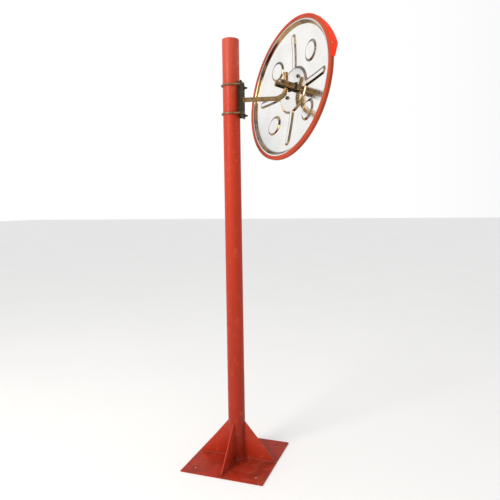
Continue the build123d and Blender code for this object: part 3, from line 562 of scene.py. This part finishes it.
def back_sheet():
    """The pressed sheet: an embossed floor, its rounded wall and flange, and a plain inner face."""
    angles = np.arange(SHEET_STEPS) * 2 * math.pi / SHEET_STEPS
    last_floor = BACK_FLOOR_RADIUS - FLOOR_MARGIN
    floor_rings = np.arange(FLOOR_STEP, last_floor, FLOOR_STEP)
    corners = [
        (last_floor, float(back_height(last_floor))),
        (BACK_FLOOR_RADIUS, float(back_height(BACK_FLOOR_RADIUS))),
        (BACK_FLANGE_RADIUS, BACK_FLANGE),
        (MIRROR_RADIUS, BACK_FLANGE),
    ]
    wall = rounded_profile(corners, WALL_ROUND, WALL_ROUND_STEPS)
    vertices, faces, lines = [head_point(0, 0, HUB_FACE)], [], [0.0]
    ahead = angles + PROBE
    for radius in floor_rings:
        x, y = radius * np.cos(angles), radius * np.sin(angles)
        z = rear_surface(x, y)
        run = radius * PROBE
        outward = (rear_surface(x * (1 + PROBE), y * (1 + PROBE)) - z) / run
        sideways = (rear_surface(radius * np.cos(ahead), radius * np.sin(ahead)) - z) / run
        # How steep the floor is here sets the strength of its painted reflection.
        steepness = np.hypot(outward + radius / BACK_CURVE, sideways)
        lines += np.clip(steepness / FULL_REFLECTION_SLOPE, 0.0, 1.0).tolist()
        vertices += [head_point(*p) for p in zip(x.tolist(), y.tolist(), z.tolist())]
    front = [(r, h + SHEET) for r, h in reversed(wall)]
    front += [(r, float(back_height(r)) + SHEET) for r in INNER_FACE_RADII]
    for radius, height in wall + front:
        # The rounded wall between floor and flange gets the full painted reflection.
        on_wall = last_floor + WALL_LINE_START < radius < BACK_FLANGE_RADIUS + WALL_LINE_END
        lines += [1.0 if on_wall else 0.0] * SHEET_STEPS
        for angle in angles:
            vertices.append(head_point(radius * math.cos(angle), radius * math.sin(angle), height))
    rings = len(floor_rings) + len(wall) + len(front)
    for step in range(SHEET_STEPS):
        faces.append((0, 1 + step, 1 + (step + 1) % SHEET_STEPS))
    for ring in range(rings - 1):
        base = 1 + ring * SHEET_STEPS
        for step in range(SHEET_STEPS):
            a, b = base + step, base + (step + 1) % SHEET_STEPS
            faces.append((a, a + SHEET_STEPS, b + SHEET_STEPS, b))
    vertices.append(head_point(0, 0, float(back_height(0)) + SHEET))
    last = 1 + (rings - 1) * SHEET_STEPS
    for step in range(SHEET_STEPS):
        faces.append((len(vertices) - 1, last + (step + 1) % SHEET_STEPS, last + step))
    lines.append(0.0)
    obj = piece("back_sheet", vertices, faces, POLISHED_BACK, "mirror_head", "back_steel", 60.0)
    obj.data.attributes.new(PAINTED_REFLECTION_ATTRIBUTE, "FLOAT", "POINT").data.foreach_set("value", lines)
    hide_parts("back_plate")


back_sheet()


# ---- Convex mirror sheet, turned about the head's axis -------------------------------------------
def mirror_height(radius):
    """Front face of the convex sheet at a radius."""
    rise = math.sqrt(MIRROR_CURVE**2 - radius**2) - math.sqrt(MIRROR_CURVE**2 - MIRROR_RADIUS**2)
    return MIRROR_EDGE + rise


def mirror_sheet():
    """The reflecting cap and its skirt, with a point at the middle of each face."""
    skirt_end = BACK_FLANGE + SHEET
    radii = [MIRROR_RADIUS * (ring + 1) / MIRROR_RINGS for ring in range(MIRROR_RINGS)]
    rings = [(radius, mirror_height(radius)) for radius in radii]
    rings += [(MIRROR_RADIUS, skirt_end), (MIRROR_RADIUS - SHEET, skirt_end)]
    rings += [(r - SHEET, mirror_height(r - SHEET) - SHEET) for r in reversed(radii)]
    head_axes = (HEAD_ORIGIN, HEAD_X, HEAD_Y, NORMAL)
    vertices, faces = turned(rings, MIRROR_STEPS, head_axes, closed_ends=False)
    last = (len(rings) - 1) * MIRROR_STEPS
    front_tip, rear_tip = len(vertices), len(vertices) + 1
    vertices += [head_point(0, 0, mirror_height(0)), head_point(0, 0, mirror_height(0) - SHEET)]
    for step in range(MIRROR_STEPS):
        after = (step + 1) % MIRROR_STEPS
        faces.append((front_tip, after, step))
        faces.append((rear_tip, last + step, last + after))
    obj = piece("mirror_sheet", vertices, faces, MIRROR_SURFACE, "mirror_head", "mirror", 50.0)
    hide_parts("mirror_face")


mirror_sheet()


# ---- Rounded copies of the gussets and the bracket plate -----------------------------------------
def rounded_copy(node, body, slot, material):
    """A CAD node's shape with its sharp edges rounded over, standing in for the node."""
    source = bmesh.new()
    source.from_mesh(NODES[node].data)
    bmesh.ops.remove_doubles(source, verts=source.verts, dist=1e-6)
    bmesh.ops.dissolve_limit(
        source, angle_limit=math.radians(1.0), verts=source.verts, edges=source.edges
    )
    sharp = [
        edge
        for edge in source.edges
        if len(edge.link_faces) == 2 and edge.calc_face_angle(0.0) > math.radians(32)
    ]
    bmesh.ops.bevel(
        source,
        geom=sharp,
        offset=EDGE_ROUND,
        segments=2,
        profile=0.5,
        affect="EDGES",
        clamp_overlap=True,
    )
    bmesh.ops.triangulate(source, faces=source.faces)
    source.verts.index_update()
    vertices = [v.co.copy() for v in source.verts]
    faces = [tuple(v.index for v in face.verts) for face in source.faces]
    source.free()
    obj = piece(node + "_rounded", vertices, faces, material, body, slot, 50.0)
    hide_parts(node)


for gusset in ("gusset_right", "gusset_back", "gusset_left", "gusset_front"):
    rounded_copy(gusset, "post", "post_paint", GUSSET_PAINT)
rounded_copy("bracket_plate", "bracket", "bracket_zinc", SHADED_PLATE_ZINC)


# ---- Weld beads ------------------------------------------------------------------------------
def weld_bead(name, start, end, side_a, side_b):
    """A rippled fillet weld between two faces, from start to end."""
    run = end - start
    rings = max(int(run.length / WELD_RING), 4)
    vertices, faces = [], []
    for ring in range(rings + 1):
        spot = start + run * (ring / rings)
        ripple = 0.5 + 0.5 * math.cos(2 * math.pi * ring / RINGS_PER_RIPPLE)
        wobble = noise.noise(spot * 55.0)
        size = WELD_LEG * (0.86 + 0.1 * ripple + 0.12 * wobble)
        if ring in (0, rings):
            size *= 0.72
        vertices.append(spot)
        for step in range(WELD_ARC_STEPS + 1):
            turn = math.pi / 2 * step / WELD_ARC_STEPS
            bulge = 1.0 + 0.1 * math.sin(2 * turn)
            flat = 1.0 / (math.cos(turn) + math.sin(turn))
            reach = size * (0.55 * flat + 0.45) * bulge
            vertices.append(spot + (side_a * math.cos(turn) + side_b * math.sin(turn)) * reach)
    count = WELD_ARC_STEPS + 2
    for ring in range(rings):
        for step in range(count):
            a = ring * count + step
            b = ring * count + (step + 1) % count
            faces.append((a, b, b + count, a + count))
    faces.append(tuple(range(count)))
    faces.append(tuple(range(rings * count, (rings + 1) * count)))
    piece(name, vertices, faces, WELD_PAINT, "post", "post_paint", 75.0)


def gusset_welds():
    """Beads down both faces of each gusset, against the pole and along the base plate."""
    pole_face = math.sqrt(POLE_R**2 - GUSSET_HALF**2)
    for index, name in enumerate(("right", "back", "left", "front")):
        azimuth = math.pi / 2 * index
        out = Vector((math.cos(azimuth), math.sin(azimuth), 0))
        left = Vector((-out.y, out.x, 0))
        for label, side in (("a", 1), ("b", -1)):
            face = left * (side * GUSSET_HALF) + UP * PLATE_TOP
            foot = face + out * (POLE_R + WELD_START)
            toe = face + out * WELD_REACH
            weld_bead(f"foot_weld_{name}_{label}", foot, toe, left * side, UP)
            low = face + out * pole_face + UP * WELD_START
            high = face + out * pole_face + UP * WELD_TOP
            weld_bead(f"pole_weld_{name}_{label}", low, high, left * side, out)


gusset_welds()


# ---- Fasteners with chamfered hexagons and threads ----------------------------------------------
def ring_of(centre, across, along, radii):
    """One closed row of points round a centre, at the given radii."""
    row = []
    for step, radius in enumerate(radii):
        angle = 2 * math.pi * step / len(radii)
        row.append(centre + (across * math.cos(angle) + along * math.sin(angle)) * radius)
    return row


def hexagon(centre, axis, turn_to, size):
    """A hexagon with chamfered corners, one of them pointing along turn_to."""
    axis = axis.normalized()
    across = (turn_to - axis * turn_to.dot(axis)).normalized()
    along = axis.cross(across)
    steps = HEX_STEPS
    sectors = []
    for step in range(steps):
        sectors.append((2 * math.pi * step / steps + math.pi / 6) % (math.pi / 3) - math.pi / 6)
    vertices, faces = [], []
    for level, cut in HEX_CHAMFER:
        limit = size.flats * (HEX_CORNER - HEX_CUT * cut)
        radii = [min(size.flats / 2 / math.cos(sector), limit) for sector in sectors]
        vertices += ring_of(centre + axis * (size.height * level), across, along, radii)
    rows = len(HEX_CHAMFER)
    for ring in range(rows - 1):
        for step in range(steps):
            a, b = ring * steps + step, ring * steps + (step + 1) % steps
            faces.append((a, b, b + steps, a + steps))
    top = (rows - 1) * steps
    if not size.bore:
        faces.append(tuple(range(steps)))
        faces.append(tuple(range(top, rows * steps)))
        return vertices, faces
    inner = len(vertices)
    narrow, wide = size.bore / 2, size.bore / 2 + BORE_BEVEL
    levels = (0.0, BORE_BEVEL, size.height - BORE_BEVEL, size.height)
    for radius, level in zip((wide, narrow, narrow, wide), levels):
        vertices += ring_of(centre + axis * level, across, along, [radius] * steps)
    for ring in range(3):
        for step in range(steps):
            a, b = inner + ring * steps + step, inner + ring * steps + (step + 1) % steps
            faces.append((a, a + steps, b + steps, b))
    inner_top = inner + 3 * steps
    for step in range(steps):
        after = (step + 1) % steps
        faces.append((step, inner + step, inner + after, after))
        faces.append((top + step, top + after, inner_top + after, inner_top + step))
    return vertices, faces


def threaded_rod(start, axis, thread, length):
    """A stud with turned thread crests and a chamfered tip."""
    major, pitch = thread.diameter / 2, thread.pitch
    minor = major - THREAD_DEPTH * pitch
    rings = [(minor, 0.0)]
    for turn in range(int((length - 0.6 * pitch) / pitch)):
        for radius, along in ((minor, 0.12), (major, 0.44), (major, 0.56), (minor, 0.88)):
            rings.append((radius, (turn + along) * pitch))
    rings += [(minor, length - 0.5 * pitch), (minor - 0.4 * pitch, length)]
    return turned(rings, THREAD_STEPS, (start, *axes_from(axis)))


def joined(parts):
    """Several vertex and face lists as one."""
    vertices, faces = [], []
    for part_vertices, part_faces in parts:
        base = len(vertices)
        vertices += part_vertices
        faces += [tuple(i + base for i in face) for face in part_faces]
    return vertices, faces


def fasteners(name, body, parts, *nodes):
    """One piece of dark steel from several shapes, standing in for the nodes named."""
    obj = piece(name, *joined(parts), BOLT_STEEL, body, "bolt_steel", 28.0)
    if nodes:
        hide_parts(*nodes)


def bolt(face, axis, turn_to, head, thread, length):
    """A hexagon head standing on a face, and its threaded shank running back from it."""
    return [hexagon(face, axis, turn_to, head), threaded_rod(face, -axis, thread, length)]


def u_bolt_hardware():
    """Nuts on the U-bolt legs, and thread crests on the ends that stand past them."""
    nuts, threads = [], []
    for (left, up), turn in zip(LEGS, ROD_NUT_TURNS):
        seat = bracket_point(PLATE_OUT + ROD_WASHER, left, up)
        towards = ARM_LEFT * math.cos(turn) + UP * math.sin(turn)
        nuts.append(hexagon(seat, ARM_OUT, towards, ROD_NUT))
        end = bracket_point(PLATE_OUT + ROD_WASHER + ROD_NUT.height, left, up)
        threads.append(threaded_rod(end, ARM_OUT, ROD_THREAD, ROD_PAST_NUT))
    fasteners("u_bolt_hex_nuts", "bracket", nuts, "u_bolt_nuts")
    piece("u_bolt_threads", *joined(threads), ROD_ZINC, "bracket", "bolt_steel", 28.0)


def hub_hardware():
    """Nuts and stud ends on the hub, and the two bolts through the yoke's foot."""
    nuts, studs = [], []
    for index, angle in enumerate(HUB_BOLT_ANGLES):
        level, up = HUB_BOLT_CIRCLE / 2 * math.cos(angle), HUB_BOLT_CIRCLE / 2 * math.sin(angle)
        seat = stem_point(level, up, HUB_TO_TILT - ROD_WASHER)
        nuts.append(hexagon(seat, BACK, LEVEL + STEM_UP * (0.4 - index), HUB_NUT))
        studs.append(threaded_rod(seat + BACK * HUB_NUT.height, BACK, HUB_THREAD, HUB_PAST_NUT))
    fasteners("hub_hex_nuts", "mirror_head", nuts, "hub_nuts")
    fasteners("hub_stud_ends", "mirror_head", studs)

    foot = []
    for side in (-1, 1):
        seat = stem_point(0, side * FOOT_BOLT_OFFSET, HUB_TO_TILT - FOOT_THICKNESS)
        foot += bolt(seat, BACK, LEVEL + STEM_UP * (0.2 * side), FOOT_HEAD, FOOT_THREAD, FOOT_SHANK)
    fasteners("foot_hex_bolts", "mirror_head", foot, "foot_bolts")


def clamp_hardware():
    """The cross bolt behind the stub and the collar's pinch bolt, each with its nut."""
    reach = SEAT_FACE + CROSS_WASHER
    head_seat = stem_point(-reach, 0, -CROSS_BOLT_BACK)
    nut_seat = stem_point(reach, 0, -CROSS_BOLT_BACK)
    cross = bolt(head_seat, -LEVEL, STEM_UP, CROSS_HEAD, CROSS_THREAD, CROSS_SHANK)
    fasteners("cross_hex_bolt", "mirror_head", cross, "cross_bolt")
    nut = hexagon(nut_seat, LEVEL, NORMAL + STEM_UP * 0.3, CROSS_NUT)
    fasteners("cross_hex_nut", "mirror_head", [nut], "cross_nut")

    reach = EAR_FACE + PINCH_WASHER
    behind = TILT_POINT - FLAT_FRONT * PINCH_OFFSET
    pinch = bolt(behind - LEVEL * reach, -LEVEL, UP, PINCH_HEAD, PINCH_THREAD, PINCH_SHANK)
    fasteners("pinch_hex_bolt", "swivel", pinch, "pinch_bolt")
    nut = hexagon(behind + LEVEL * reach, LEVEL, FLAT_FRONT + UP * 0.5, PINCH_NUT)
    fasteners("pinch_hex_nut", "swivel", [nut], "pinch_nut")


u_bolt_hardware()
hub_hardware()
clamp_hardware()


# ---- Floor, light and camera ---------------------------------------------------------------------
def stage():
    """A plain pale floor just under the base plate."""
    mesh = bpy.data.meshes.new("floor")
    corners = [(x * FLOOR_REACH, y * FLOOR_REACH, 0) for x, y in ((-1, -1), (1, -1), (1, 1), (-1, 1))]
    mesh.from_pydata(corners, [], [(0, 1, 2, 3)])
    shader = Shader("floor_pale")
    colour = shader.mix(shader.noise(0.8, 3.0), (0.86, 0.85, 0.83, 1.0), (0.9, 0.89, 0.87, 1.0))
    glow = (1.0, 0.98, 0.95, 1.0)
    mesh.materials.append(
        shader.finish(Base_Color=colour, Roughness=0.9, Emission_Color=glow, Emission_Strength=0.03)
    )
    floor = bpy.data.objects.new("floor", mesh)
    floor.location.z = -FLOOR_DROP
    bpy.context.scene.collection.objects.link(floor)


def world_light():
    """Soft studio light: white, light grey towards +X, and grey-blue in a band part way up."""
    world = bpy.data.worlds.new("studio")
    bpy.context.scene.world = world
    world.use_nodes = True
    tree = world.node_tree
    background = tree.nodes["Background"]
    direction = tree.nodes.new("ShaderNodeTexCoord").outputs["Generated"]
    parts = tree.nodes.new("ShaderNodeSeparateXYZ")
    tree.links.new(direction, parts.inputs[0])

    def ramp(socket, span, colours):
        spread = tree.nodes.new("ShaderNodeMapRange")
        spread.interpolation_type = "SMOOTHSTEP"
        spread.inputs["From Min"].default_value = span[0]
        spread.inputs["From Max"].default_value = span[1]
        tree.links.new(socket, spread.inputs["Value"])
        mixed = tree.nodes.new("ShaderNodeMix")
        mixed.data_type = "RGBA"
        tree.links.new(spread.outputs[0], mixed.inputs[0])
        for index, colour in zip((6, 7), colours):
            if isinstance(colour, bpy.types.NodeSocket):
                tree.links.new(colour, mixed.inputs[index])
            else:
                mixed.inputs[index].default_value = colour
        return mixed.outputs[2]

    sides = ramp(parts.outputs["X"], SHADE_SPAN, (WORLD_WHITE, WORLD_SHADE))
    band = ramp(parts.outputs["Z"], BAND_FADES_IN, (sides, WORLD_BAND))
    colour = ramp(parts.outputs["Z"], BAND_FADES_OUT, (band, WORLD_WHITE))
    tree.links.new(colour, background.inputs["Color"])
    background.inputs["Strength"].default_value = WORLD_STRENGTH


def area_light(name, place, target, size, power, colour):
    """A soft rectangular lamp at a place, turned towards a target."""
    data = bpy.data.lights.new(name, "AREA")
    data.shape = "RECTANGLE"
    data.size, data.size_y = size
    data.energy = power
    data.color = colour
    lamp = bpy.data.objects.new(name, data)
    lamp.location = place
    lamp.rotation_mode = "QUATERNION"
    lamp.rotation_quaternion = (Vector(target) - Vector(place)).to_track_quat("-Z", "Y")
    bpy.context.scene.collection.objects.link(lamp)


def camera():
    """The camera, placed by its position, yaw, pitch and roll."""
    data = bpy.data.cameras.new("camera")
    data.sensor_width = CAMERA_SENSOR
    data.lens = CAMERA_LENS
    data.shift_x, data.shift_y = CAMERA_SHIFT
    data.clip_end = CAMERA_FAR
    yaw, pitch, roll = CAMERA_YAW, CAMERA_PITCH, CAMERA_ROLL
    forward = Vector((math.sin(yaw) * math.cos(pitch), math.cos(yaw) * math.cos(pitch), math.sin(pitch)))
    level = Vector((math.cos(yaw), -math.sin(yaw), 0))
    above = level.cross(forward)
    right = level * math.cos(roll) + above * math.sin(roll)
    up = above * math.cos(roll) - level * math.sin(roll)
    obj = bpy.data.objects.new("camera", data)
    obj.matrix_world = Matrix(
        ((right.x, up.x, -forward.x), (right.y, up.y, -forward.y), (right.z, up.z, -forward.z))
    ).to_4x4()
    obj.location = CAMERA_PLACE
    bpy.context.scene.collection.objects.link(obj)
    bpy.context.scene.camera = obj


stage()
world_light()
area_light("key", KEY_PLACE, KEY_TARGET, KEY_SIZE, KEY_POWER, KEY_COLOUR)
camera()
bpy.context.scene.view_settings.view_transform = "Standard"
